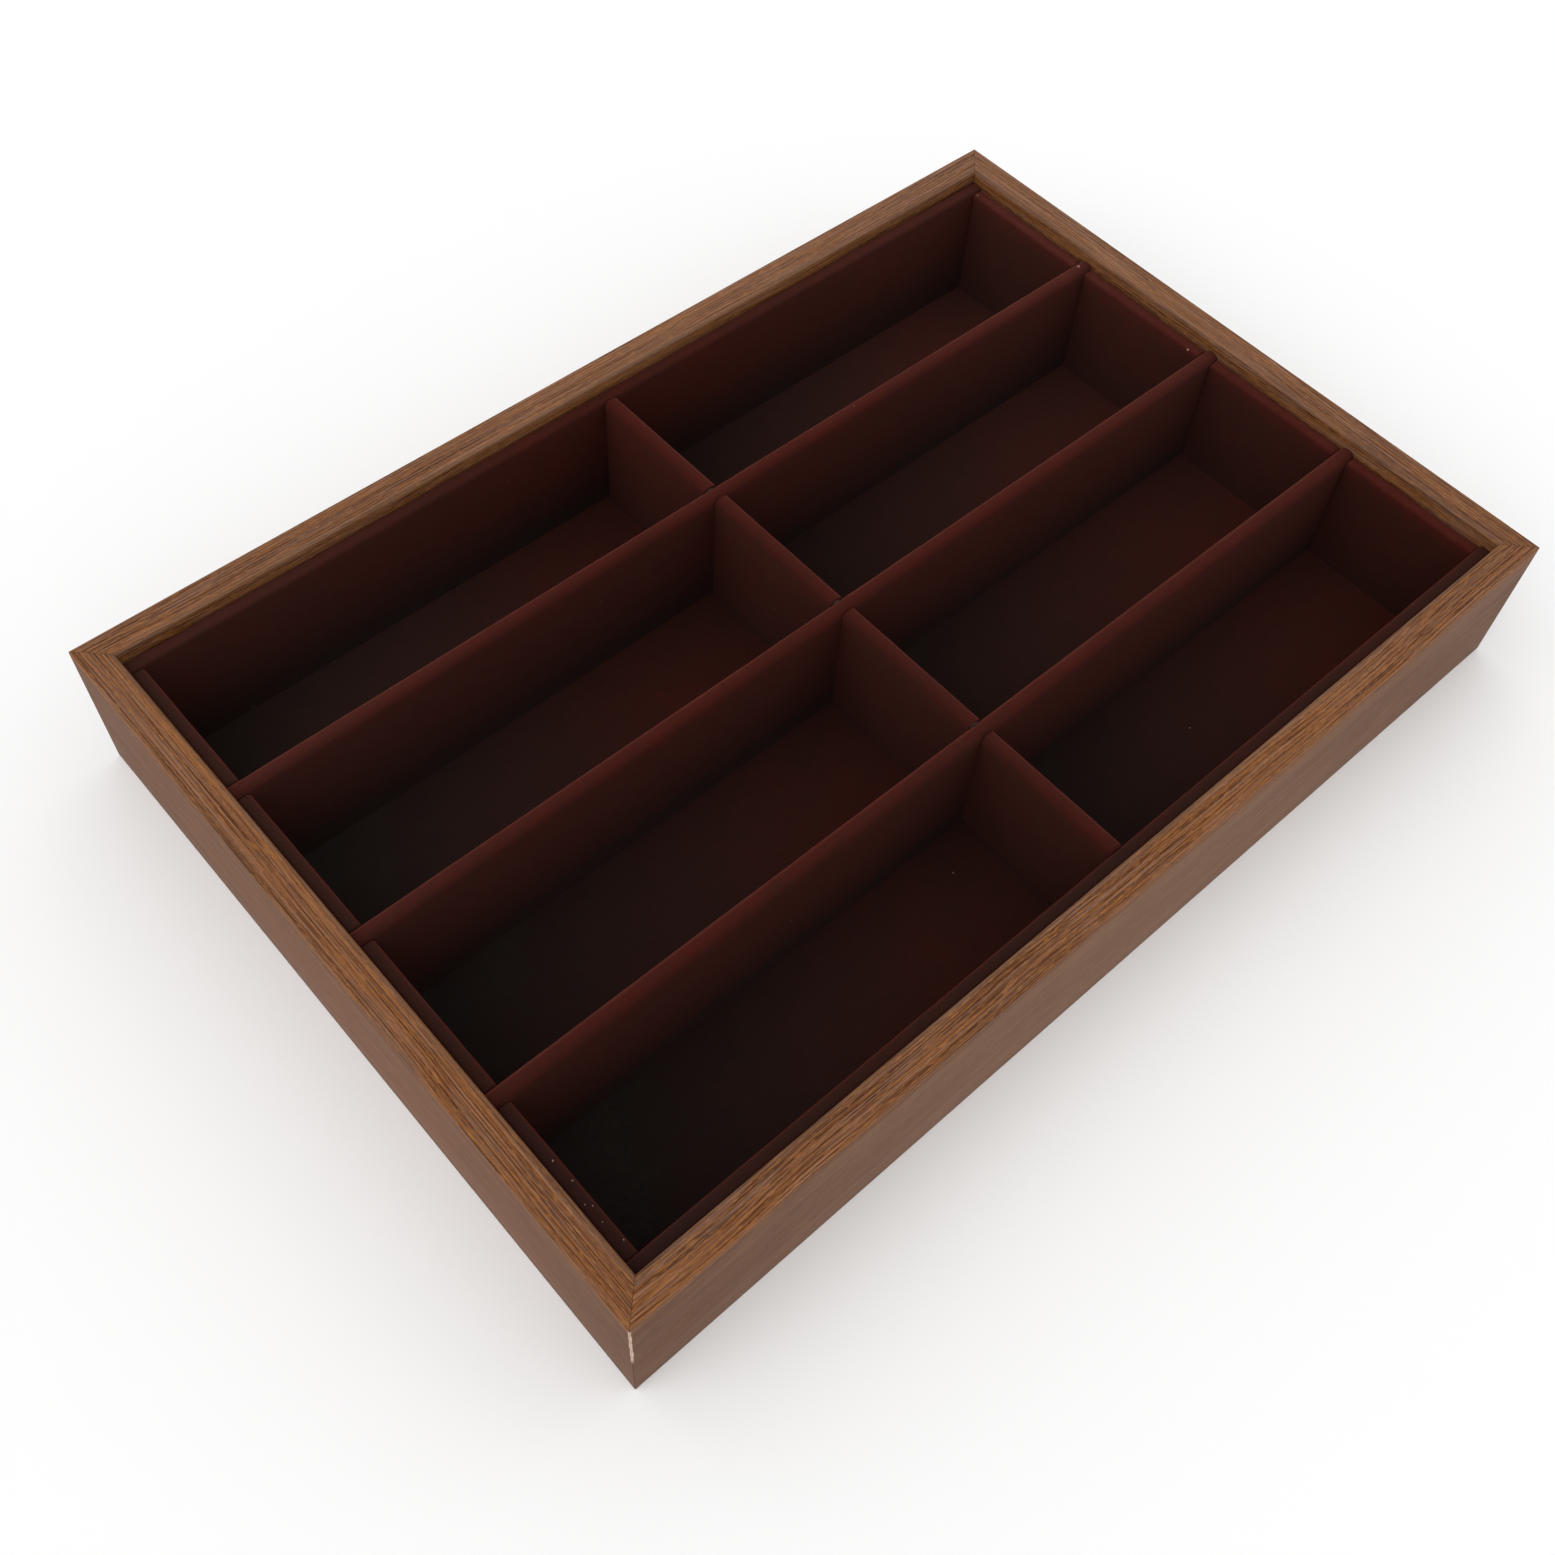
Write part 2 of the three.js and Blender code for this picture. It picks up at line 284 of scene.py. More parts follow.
@dataclass(frozen=True)
class Walnut:
    """Walnut with straight grain under a thin satin coat.

    It is calm on the outer faces and along the rim's inner edge; on the outer faces its calm colour,
    darker than the rim, is painted shade. Painted reflection makes the rim paler toward the tray's back
    right corner.
    It is paler at the faces' foot and where one upright corner edge is rubbed bare.
    """

    grain: Axis
    dark: Colour = tint(69, 38, 20)
    brown: Colour = tint(103, 62, 34)
    tan: Colour = tint(138, 89, 51)
    pore: Colour = tint(54, 30, 17)
    gold: Colour = tint(170, 112, 58)
    # Also the colour of the painted reflection that pales the rim.
    pale: Colour = tint(148, 122, 110)
    # Calm colours, darker than the rim: painted shade on the outer faces, under calmer grain.
    calm_dark_painted_shade: Colour = tint(87, 65, 51)
    calm_pale_painted_shade: Colour = tint(109, 78, 61)
    rubbed: Colour = tint(214, 186, 166)
    coat: float = 0.2
    coat_roughness: float = 0.3
    roughness: tuple[float, float] = (0.4, 0.6)
    wander_waves: Waves = (130.0, 50.0, 50.0)
    wander_reach: float = 5.0
    band_waves: Waves = (220.0, 4.0, 4.0)
    streak_waves: Waves = (120.0, 0.3, 0.3)
    fibre_waves: Waves = (22.0, 0.28, 0.28)
    pore_waves: Waves = (2.0, 0.24, 0.24)
    pore_steps: Pair = (0.6, 0.68)
    pore_share: float = 0.4
    glint_waves: Waves = (3.5, 0.26, 0.26)
    glint_steps: Pair = (0.56, 0.66)
    glint_share: float = 0.5
    smoke_waves: Waves = (40.0, 0.4, 0.4)
    smoke_steps: Pair = (0.48, 0.68)
    smoke_share: float = 0.3
    tone_weights: tuple[float, float, float, float] = (0.22, 0.1, 0.42, 0.26)
    tone_steps: tuple[float, float, float] = (0.39, 0.48, 0.58)
    relief_weights: Pair = (0.6, -0.7)
    relief_depth: float = 0.06
    relief_strength: float = 0.5
    ring: float = 1.0
    ring_length: float = 90.0
    ring_bend: float = 5.0
    edge_band: float = 1.3
    edge_blur: float = 0.5
    edge_depths: Pair = (1.6, 0.8)
    face_steps: Pair = (-0.8, -0.2)
    grained_edge: Pair = (6.5, 1.5)
    edge_waves: Waves = (60.0, 60.0, 60.0)
    edge_wave: float = 8.0
    # Painted reflection: the rim grows paler toward the tray's back right corner.
    painted_reflection_share: float = 0.12
    painted_reflection_steps: Pair = (-0.9, 1.9)
    painted_reflection_depth: float = 2.0
    calmness: float = 0.54
    calm_waves: Waves = (30.0, 30.0, 50.0)
    calm_steps: Pair = (0.25, 0.75)
    inner_calmness: float = 0.35
    foot_height: float = 25.0
    foot_paleness: float = 0.3
    rubbed_heights: Pair = (23.0, RIM)
    rubbed_ends: Pair = (4.0, 1.5)
    rubbed_width: float = 0.55
    rubbed_blur: Pair = (-0.3, 0.1)
    rubbed_waves: Waves = (2.0, 2.0, 5.0)

    def material(self) -> bpy.types.Material:
        """The finish as a material.

        Returns:
            The material.
        """
        bench = Bench(f"walnut_{self.grain.name.lower()}")
        at = bench.place(-self.grain.value)
        wander = bench.noise(at, self.wander_waves)
        drift = bench.node("CombineXYZ", {"Y": wander, "Z": wander}).outputs[0]
        drifted = {0: drift, 1: (self.wander_reach,) * 3, 2: at}
        lines = bench.node("VectorMath", drifted, operation="MULTIPLY_ADD").outputs[0]
        bands = bench.noise(lines, self.band_waves)
        rings = self.rings(bench, lines)
        streaks = bench.noise(lines, self.streak_waves)
        fibres = bench.noise(lines, self.fibre_waves)
        pores = bench.between(bench.noise(lines, self.pore_waves, 1), *self.pore_steps)
        glints = bench.between(bench.noise(lines, self.glint_waves, 1), *self.glint_steps)
        smoking = bench.noise(lines, self.smoke_waves, 1)
        smoke = bench.between(smoking, *self.smoke_steps, (0, self.smoke_share))
        tone = bench.blend(zip((bands, rings, streaks, fibres), self.tone_weights))
        wood = bench.ramp(tone, list(zip(self.tone_steps, (self.dark, self.brown, self.tan))))
        glinting = bench.mix(bench.math("MULTIPLY", glints, self.glint_share), wood, self.gold)
        pored = bench.mix(bench.math("MULTIPLY", pores, self.pore_share), glinting, self.pore)
        # Random smoke and the painted reflection on the rim bring in the pale colour.
        smoked_with_painted_reflection = bench.mix(bench.math("ADD", self.painted_reflection(bench), smoke), pored, self.pale)
        # The calm colour, with its painted shade, goes where the wood is smooth.
        smoothed = bench.mix(self.smooth(bench), smoked_with_painted_reflection, self.calm_with_painted_shade(bench, at))
        colour = bench.mix(self.rub(bench), smoothed, self.rubbed)
        height = bench.blend(zip((fibres, pores), self.relief_weights))
        bench.shade(
            {
                "Base Color": colour,
                "Roughness": bench.between(fibres, *NOISE_RANGE, self.roughness),
                "Specular IOR Level": 0.0,
                "Coat Weight": self.coat,
                "Coat Roughness": self.coat_roughness,
                "Normal": bench.relief(height, self.relief_depth, self.relief_strength),
            }
        )
        return bench.material

    def rings(self, bench: Bench, lines: Socket) -> Socket:
        """The lines of the yearly rings, which run along the grain at an uneven distance.

        Args:
            bench: The material's bench.
            lines: Coordinates along and across the grain, in millimetres.

        Returns:
            The socket of the lines, 0 to 1.
        """
        drawn_out = bench.node("Mapping", {"Vector": lines, "Scale": (1 / self.ring_length, 1, 1)})
        spacing = {
            "Vector": drawn_out.outputs["Vector"],
            "Scale": WAVE_LENGTH / self.ring,
            "Distortion": self.ring_bend,
            "Detail": 1.0,
        }
        return bench.node("TexWave", spacing, bands_direction="DIAGONAL").outputs["Fac"]

    def calm_with_painted_shade(self, bench: Bench, at: Socket) -> Socket:
        """The calm colour of the smooth wood, darker than the rim as painted shade, and paler toward the
        middle of each rail and at its foot.

        Args:
            bench: The material's bench.
            at: Coordinates along and across the rail, in millimetres.

        Returns:
            The colour's socket.
        """
        place = bench.node("SeparateXYZ", {"Vector": at}).outputs
        share = bench.math("DIVIDE", place["X"], HALF_SIDES[self.grain.value])
        middle = bench.math("SUBTRACT", 1.0, bench.math("MULTIPLY", share, share))
        clouds = bench.noise(at, self.calm_waves)
        tone = bench.blend([(middle, 0.5), (clouds, 0.5)])
        calm = bench.ramp(tone, list(zip(self.calm_steps, (self.calm_dark_painted_shade, self.calm_pale_painted_shade))))
        at_foot = bench.between(place["Z"], 0, self.foot_height, (self.foot_paleness, 0))
        return bench.mix(at_foot, calm, self.pale)

    def painted_reflection(self, bench: Bench) -> Socket:
        """How much painted reflection pales the rim toward the tray's back right corner.

        Args:
            bench: The material's bench.

        Returns:
            The socket of the mask, 0 to 1.
        """
        place = bench.node("SeparateXYZ", {"Vector": bench.place()}).outputs
        slant = bench.blend((place[axis], 1 / half) for axis, half in zip("XY", HALF_SIDES))
        on_rim = bench.between(place["Z"], RIM - self.painted_reflection_depth, RIM)
        return bench.math("MULTIPLY", on_rim, bench.between(slant, *self.painted_reflection_steps, (0, self.painted_reflection_share)))

    def smooth(self, bench: Bench) -> Socket:
        """Where the wood is smooth and takes the calm colour with its painted shade: on the outer faces,
        a little below the rim, and at its inner edge.

        Args:
            bench: The material's bench.

        Returns:
            The socket of the mask, 0 to 1.
        """
        at = bench.place()
        place = bench.node("SeparateXYZ", {"Vector": at}).outputs
        beyond = [
            bench.math("SUBTRACT", bench.math("ABSOLUTE", place[axis]), half)
            for axis, half in zip("XY", HALF_SIDES)
        ]
        outward = bench.math("MAXIMUM", *beyond)
        outer = bench.between(outward, *self.face_steps, (0, self.calmness))
        wave = bench.math("SUBTRACT", bench.noise(at, self.edge_waves), NOISE_MEAN)
        wavy = bench.blend([(place["Z"], 1.0), (wave, self.edge_wave)])
        full, start = (RIM - depth for depth in self.grained_edge)
        faces = bench.math("MULTIPLY", outer, bench.between(wavy, full, start, (1, 0)))
        inner_end = self.edge_band - RAIL
        blur = (inner_end - self.edge_blur, inner_end + self.edge_blur)
        inner = bench.between(outward, *blur, (self.inner_calmness, 0))
        on_rim = bench.between(place["Z"], *(RIM - depth for depth in self.edge_depths))
        return bench.math("MAXIMUM", faces, bench.math("MULTIPLY", inner, on_rim))

    def rub(self, bench: Bench) -> Socket:
        """Where the finish is rubbed off one upright corner edge.

        Args:
            bench: The material's bench.

        Returns:
            The socket of the mask, 0 to 1.
        """
        at = bench.place()
        place = bench.node("SeparateXYZ", {"Vector": at}).outputs
        ragged = bench.noise(at, self.rubbed_waves)
        from_edge = bench.math("ADD", place["X"], place["Y"])
        away = bench.math("ADD", from_edge, sum(HALF_SIDES))
        reach = bench.math("MULTIPLY", ragged, 2 * self.rubbed_width)
        near = bench.between(bench.math("SUBTRACT", away, reach), *self.rubbed_blur, (1, 0))
        low, high = self.rubbed_heights
        at_foot, at_top = self.rubbed_ends
        above = bench.between(place["Z"], low, low + at_foot)
        below = bench.between(place["Z"], high - at_top, high, (1, 0))
        return bench.math("MULTIPLY", near, bench.math("MULTIPLY", above, below))


@dataclass(frozen=True)
class Velvet:
    """Short maroon pile: near black in painted shade, red where lit and pale in a painted highlight.

    A mesh gives the velvet's painted light and shade by a value at each vertex: -0.6 to -0.4 is painted
    shade,
    0.5 is lit, partly as brushed-up pile, and 1 is a painted highlight. The value rises a little per
    millimetre to the right and to the back, as painted light. The sheen is less in the deepest painted
    shade. A grey painted sheen veils it toward the tray's ends and back. A little lint sticks to it, in
    scattered flecks and in specks, each at its own place and with its reach.
    """

    LIGHT_AND_PILE = "light_and_pile"

    name: str = "velvet"
    # Colours from the deepest painted shade at the panels' feet, through the lit red, to the painted
    # highlight on the far top edges.
    shade_to_highlight: tuple[tuple[float, Colour], ...] = (
        (-0.6, tint(28, 26, 23)),
        (-0.4, tint(16, 14, 12)),
        (0.0, tint(30, 15, 11)),
        (0.25, tint(41, 14, 8)),
        (0.55, tint(58, 12, 5)),
        (1.0, tint(76, 33, 26)),
    )
    # The value's range, from the deepest painted shade to the brightest painted highlight.
    most_shaded: float = -0.6
    most_highlit: float = 1.2
    lint: Colour = tint(170, 140, 128)
    # A grey painted sheen, stronger toward the tray's ends and back.
    painted_sheen: Colour = tint(150, 130, 122)
    painted_sheen_share: float = 0.02
    painted_sheen_steps: Pair = (0.4, 1.3)
    painted_sheen_back_lean: float = 0.5
    sheen: Colour = tint(206, 106, 84)
    sheen_weights: Pair = (0.05, 0.1)
    sheen_rise: float = 0.25
    sheen_roughness: float = 0.75
    roughness: float = 0.95
    specular: float = 0.14
    hand_waves: Waves = (60.0, 60.0, 40.0)
    crush_waves: Waves = (8.0, 8.0, 6.0)
    tuft_waves: Waves = (1.8, 1.8, 1.8)
    pile_waves: Waves = (0.5, 0.5, 0.5)
    uneven_weights: tuple[float, float, float, float] = (0.25, 0.3, 0.3, 0.25)
    # Painted light: the value rises a little per millimetre to the right and to the back.
    light_lean: Pair = (0.0003, 0.0005)
    relief_weights: Pair = (0.75, 0.25)
    relief_depth: float = 0.35
    relief_strength: float = 0.6
    fleck_ruffle: float = 1.6
    fleck_bend: float = 0.9
    fleck_pitch: float = 15.0
    fleck_steps: Pair = (0.008, 0.016)
    fleck_share: float = 0.7
    speck_core: float = 0.3
    speck_share: float = 0.8
    specks: tuple[tuple[float, float, float, float], ...] = (
        (161.8, 56.6, 46.3, 0.65),
        (161.6, 6.9, 44.8, 0.5),
        (162.4, 105.1, 45.3, 0.4),
        (-163.0, -77.1, 45.3, 0.26),
        (-162.5, -83.8, 45.3, 0.26),
        (-163.9, -90.0, 45.3, 0.26),
        (-162.8, -91.5, 45.3, 0.26),
        (-163.4, -95.8, 45.3, 0.26),
        (-162.3, -102.2, 45.3, 0.26),
    )

    def material(self) -> bpy.types.Material:
        """The finish as a material.

        Returns:
            The material.
        """
        bench = Bench(self.name)
        at = bench.place()
        hand = bench.noise(at, self.hand_waves)
        crush = bench.noise(at, self.crush_waves)
        tufts = bench.noise(at, self.tuft_waves)
        pile = bench.noise(at, self.pile_waves)
        # The painted light and shade of each vertex, with the random unevenness of the pile and the
        # painted slope of light.
        light_and_pile = bench.node("Attribute", {}, attribute_name=self.LIGHT_AND_PILE).outputs["Fac"]
        place = bench.node("SeparateXYZ", {"Vector": at}).outputs
        light_leaning = zip((place["X"], place["Y"]), self.light_lean)
        ruffling = zip((hand, crush, tufts, pile), self.uneven_weights)
        uneven = bench.blend([(light_and_pile, 1.0), *ruffling, *light_leaning])
        span = self.most_highlit - self.most_shaded
        lowest = self.most_shaded + NOISE_MEAN * sum(self.uneven_weights)
        shade_and_light = bench.math("DIVIDE", bench.math("SUBTRACT", uneven, lowest), span)
        cloth = bench.ramp(shade_and_light, [((value - self.most_shaded) / span, colour) for value, colour in self.shade_to_highlight])
        # The grey painted sheen, then the lint.
        sheened = bench.mix(self.painted_sheen_mask(bench, place), cloth, self.painted_sheen)
        colour = bench.mix(self.flecks(bench, at), sheened, self.lint)
        height = bench.blend(zip((pile, crush), self.relief_weights))
        bench.shade(
            {
                "Base Color": colour,
                "Roughness": self.roughness,
                "Specular IOR Level": self.specular,
                # Less sheen in the deepest painted shade.
                "Sheen Weight": bench.between(shade_and_light, 0, self.sheen_rise / span, self.sheen_weights),
                "Sheen Roughness": self.sheen_roughness,
                "Sheen Tint": self.sheen,
                "Normal": bench.relief(height, self.relief_depth, self.relief_strength),
            }
        )
        return bench.material

    def painted_sheen_mask(self, bench: Bench, place: bpy.types.NodeOutputs) -> Socket:
        """How much grey painted sheen veils the pile: more toward the tray's ends, and most at its back.

        Args:
            bench: The material's bench.
            place: The sockets of the place in millimetres.

        Returns:
            The socket of the mask, 0 to 1.
        """
        along = bench.math("ABSOLUTE", place["X"])
        out = bench.blend([(along, 1 / HALF_SIDES[0]), (place["Y"], self.painted_sheen_back_lean / HALF_SIDES[1])])
        return bench.between(out, *self.painted_sheen_steps, (0, self.painted_sheen_share))

    def flecks(self, bench: Bench, at: Socket) -> Socket:
        """Scattered lint, and the specks that have a place of their own.

        Args:
            bench: The material's bench.
            at: Coordinates in millimetres.

        Returns:
            The socket of the mask, 0 to 1.
        """
        ruffle = {"Vector": at, "Scale": self.fleck_ruffle, "Detail": 1.0}
        ruffled = bench.node("TexNoise", ruffle).outputs["Color"]
        bent = {0: ruffled, 1: (self.fleck_bend,) * 3, 2: at}
        crooked = bench.node("VectorMath", bent, operation="MULTIPLY_ADD").outputs[0]
        cells = bench.node("TexVoronoi", {"Vector": crooked, "Scale": 1 / self.fleck_pitch})
        mask = bench.between(cells.outputs["Distance"], *self.fleck_steps, (self.fleck_share, 0))
        for *speck, reach in self.specks:
            middle = tuple(value + NOISE_MEAN * self.fleck_bend for value in speck)
            ends = {0: crooked, 1: middle}
            away = bench.node("VectorMath", ends, operation="DISTANCE").outputs["Value"]
            spot = bench.between(away, self.speck_core * reach, reach, (self.speck_share, 0))
            mask = bench.math("MAXIMUM", mask, spot)
        return mask


@dataclass(frozen=True)
class Hardboard:
    """Pressed brown fibre, smooth on the face that shows."""

    pale: Colour = tint(140, 104, 70)
    dark: Colour = tint(96, 68, 45)
    cloud_waves: Waves = (40.0, 40.0, 40.0)
    fibre_waves: Waves = (2.2, 0.5, 0.5)
    crossed_waves: Waves = (0.5, 2.2, 0.5)
    tone_weights: tuple[float, float, float] = (0.4, 0.3, 0.3)
    tone_steps: Pair = (0.36, 0.64)
    roughness: Pair = (0.62, 0.82)
    relief_depth: float = 0.1
    relief_strength: float = 0.5

    def material(self) -> bpy.types.Material:
        """The finish as a material.

        Returns:
            The material.
        """
        bench = Bench("hardboard")
        at = bench.place()
        clouds = bench.noise(at, self.cloud_waves, 4)
        fibres = bench.noise(at, self.fibre_waves, 3)
        crossed = bench.noise(at, self.crossed_waves, 3)
        tone = bench.blend(zip((clouds, fibres, crossed), self.tone_weights))
        bench.shade(
            {
                "Base Color": bench.ramp(tone, list(zip(self.tone_steps, (self.dark, self.pale)))),
                "Roughness": bench.between(clouds, *NOISE_RANGE, self.roughness),
                "Normal": bench.relief(tone, self.relief_depth, self.relief_strength),
            }
        )
        return bench.material


@dataclass(frozen=True)
class Wire:
    """Bright drawn steel with a little tarnish."""

    bright: Colour = tint(196, 196, 198)
    tarnish: Colour = tint(128, 122, 114)
    spot_waves: Waves = (1.4, 1.4, 1.4)
    spot_steps: Pair = (0.35, 0.6)
    drawn_waves: Waves = (0.15, 0.15, 0.15)
    roughness: Pair = (0.45, 0.26)
    relief_depth: float = 0.02
    relief_strength: float = 0.4

    def material(self) -> bpy.types.Material:
        """The finish as a material.

        Returns:
            The material.
        """
        bench = Bench("steel_wire")
        at = bench.place()
        spots = bench.noise(at, self.spot_waves, 3)
        drawn = bench.noise(at, self.drawn_waves, 1)
        bench.shade(
            {
                "Base Color": bench.ramp(spots, list(zip(self.spot_steps, (self.tarnish, self.bright)))),
                "Metallic": 1.0,
                "Roughness": bench.between(spots, *NOISE_RANGE, self.roughness),
                "Normal": bench.relief(drawn, self.relief_depth, self.relief_strength),
            }
        )
        return bench.material


@dataclass(frozen=True)
class Greyboard:
    """Raw recycled card with flecks of fibre."""

    pale: Colour = tint(158, 149, 138)
    dark: Colour = tint(112, 104, 95)
    cloud_waves: Waves = (14.0, 14.0, 6.0)
    fleck_waves: Waves = (0.6, 0.6, 0.25)
    tone_steps: Pair = (0.36, 0.64)
    roughness: Pair = (0.82, 0.95)
    relief_depth: float = 0.08
    relief_strength: float = 0.5

    def material(self) -> bpy.types.Material:
        """The finish as a material.

        Returns:
            The material.
        """
        bench = Bench("greyboard")
        at = bench.place()
        clouds = bench.noise(at, self.cloud_waves, 4)
        flecks = bench.noise(at, self.fleck_waves)
        tone = bench.blend([(clouds, 0.5), (flecks, 0.5)])
        bench.shade(
            {
                "Base Color": bench.ramp(tone, list(zip(self.tone_steps, (self.dark, self.pale)))),
                "Roughness": bench.between(clouds, *NOISE_RANGE, self.roughness),
                "Normal": bench.relief(flecks, self.relief_depth, self.relief_strength),
            }
        )
        return bench.material


def dress(node: str, material: bpy.types.Material) -> None:
    """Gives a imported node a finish.

    Args:
        node: The node's name.
        material: Its finish.
    """
    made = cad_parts[node]
    for held in made.material_slots:
        held.material = material
    log.info("dressed %s with %s", node, material.name)


def nodes_like(*starts: str) -> list[str]:
    """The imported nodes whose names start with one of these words, in order."""
    return sorted(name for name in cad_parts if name.startswith(starts))


def evenly(low: float, high: float, pitch: float) -> list[float]:
    """Places between two ends, about a pitch apart.

    Args:
        low: The first end, which is left out.
        high: The other end, which is left out.
        pitch: The wanted distance.

    Returns:
        The places in rising order.
    """
    count = max(1, round((high - low) / pitch))
    return [low + (high - low) * i / count for i in range(1, count)]


@dataclass(frozen=True)
class Slot:
    """A half-lap slot: its middle along the panel, its width, and its heights above the foot."""

    at: float
    width: float
    low: float
    high: float

    def edges(self) -> tuple[float, float]:
        """The slot's two sides along the panel."""
        return self.at - self.width / 2, self.at + self.width / 2

    def holds(self, point: Vector) -> bool:
        """Whether a point of the panel lies in the slot."""
        start, end = self.edges()
        return start < point.x < end and self.low < point.z < self.high


@dataclass
class Cloth:
    """How a length of velvet is cut and laid: its thickness, mesh and unevenness.

    Where it faces along X, end_hold takes that share of the unevenness away.
    """

    thickness: float = 0.85 * MM
    pitch: float = 1.7 * MM
    swell: float = 0.07 * MM
    swell_length: float = 11 * MM
    nap: float = 0.03 * MM
    nap_length: float = 2.4 * MM
    end_hold: float = 0.8
    seed_steps: tuple[float, float, float] = (3.7, 1.3, 2.1)
    sharp_angle: float = math.radians(50)

    def unsettle(self, bm: bmesh.types.BMesh, seed: int) -> None:
        """Moves the cloth a little in and out, as pile over glue lies.

        Args:
            bm: The cloth as one layer.
            seed: Which stretch of the noise it takes.
        """
        start = Vector([seed * step for step in self.seed_steps])
        bm.normal_update()
        for vert in bm.verts:
            slow = noise.noise(vert.co / self.swell_length + start)
            fast = noise.noise(vert.co / self.nap_length - start)
            freedom = 1 - self.end_hold * abs(vert.normal.x)
            vert.co += vert.normal * (slow * self.swell + fast * self.nap) * freedom

    def thicken(self, bm: bmesh.types.BMesh) -> None:
        """Gives one layer its thickness inwards and marks the cut edges sharp."""
        bmesh.ops.solidify(bm, geom=bm.faces[:], thickness=self.thickness)
        bm.normal_update()
        for edge in bm.edges:
            edge.smooth = edge.calc_face_angle(0.0) < self.sharp_angle

    def cut_across(self, bm: bmesh.types.BMesh, axis: int, places: Iterable[float]) -> None:
        """Cuts the faces of a mesh square to an axis.

        Args:
            bm: The mesh.
            axis: 0, 1 or 2.
            places: Where, in rising order.
        """
        normal = Vector((axis == 0, axis == 1, axis == 2))
        ahead = bm.faces[:]
        for place in places:
            geometry = dict.fromkeys(e for f in ahead for e in (*f.verts, *f.edges, f))
            cut = bmesh.ops.bisect_plane(
                bm, geom=list(geometry), dist=TINY, plane_co=normal * place, plane_no=normal
            )
            faces = [e for e in cut["geom"] if isinstance(e, bmesh.types.BMFace)]
            ahead = [f for f in faces if f.calc_center_median()[axis] > place]

    def piece(self, bm: bmesh.types.BMesh, name: str, material: bpy.types.Material) -> bpy.types.Object:
        """Makes an object of a finished mesh.

        Args:
            bm: The mesh, which is freed.
            name: The piece's name.
            material: Its finish.

        Returns:
            The object, at the origin.
        """
        mesh = bpy.data.meshes.new(name)
        for face in bm.faces:
            face.smooth = True
        bm.to_mesh(mesh)
        bm.free()
        mesh.materials.append(material)
        made = bpy.data.objects.new(name, mesh)
        bpy.context.scene.collection.objects.link(made)
        return made


@dataclass(frozen=True)
class PaintedLight:
    """Painted light and shade on a covered panel, in the values that velvet is coloured by.

    At the panel's foot the value is the first of its pair, painted shade, and from flat_height up it is
    the second. Within crown_reach of the top edge it rises by crown, partly brushed-up pile and partly
    painted highlight, and by a painted highlight that grows toward the edge's right or back side. That
    highlight starts and is full at the two places of its span, 0 in the middle and 1 at the side.
    """

    shade_and_light: tuple[float, float]
    crown: float = 0.0
    # The painted highlight on the far side of the top edge, and where it starts and is full.
    far_highlight: float = 0.5
    far_highlight_span: tuple[float, float] = (0.6, 0.88)
    crown_reach: float = 3 * MM
    flat_height: float = 25 * MM

    def value(self, above: float, below: float, side: float) -> float:
        """The painted light and shade at one point.

        Args:
            above: The point's height over the foot.
            below: Its depth under the top edge.
            side: Its place from the left or front side of the panel to the other, -1 to 1.

        Returns:
            The value.
        """
        shade_value, light_value = self.shade_and_light
        start, full = self.far_highlight_span
        rise = min(1.0, above / self.flat_height)
        far_highlight = self.far_highlight * min(1.0, max(0.0, (side - start) / (full - start)))
        edge = (self.crown + far_highlight) * math.exp(-below / self.crown_reach)
        return shade_value + (light_value - shade_value) * rise * rise * (3 - 2 * rise) + edge


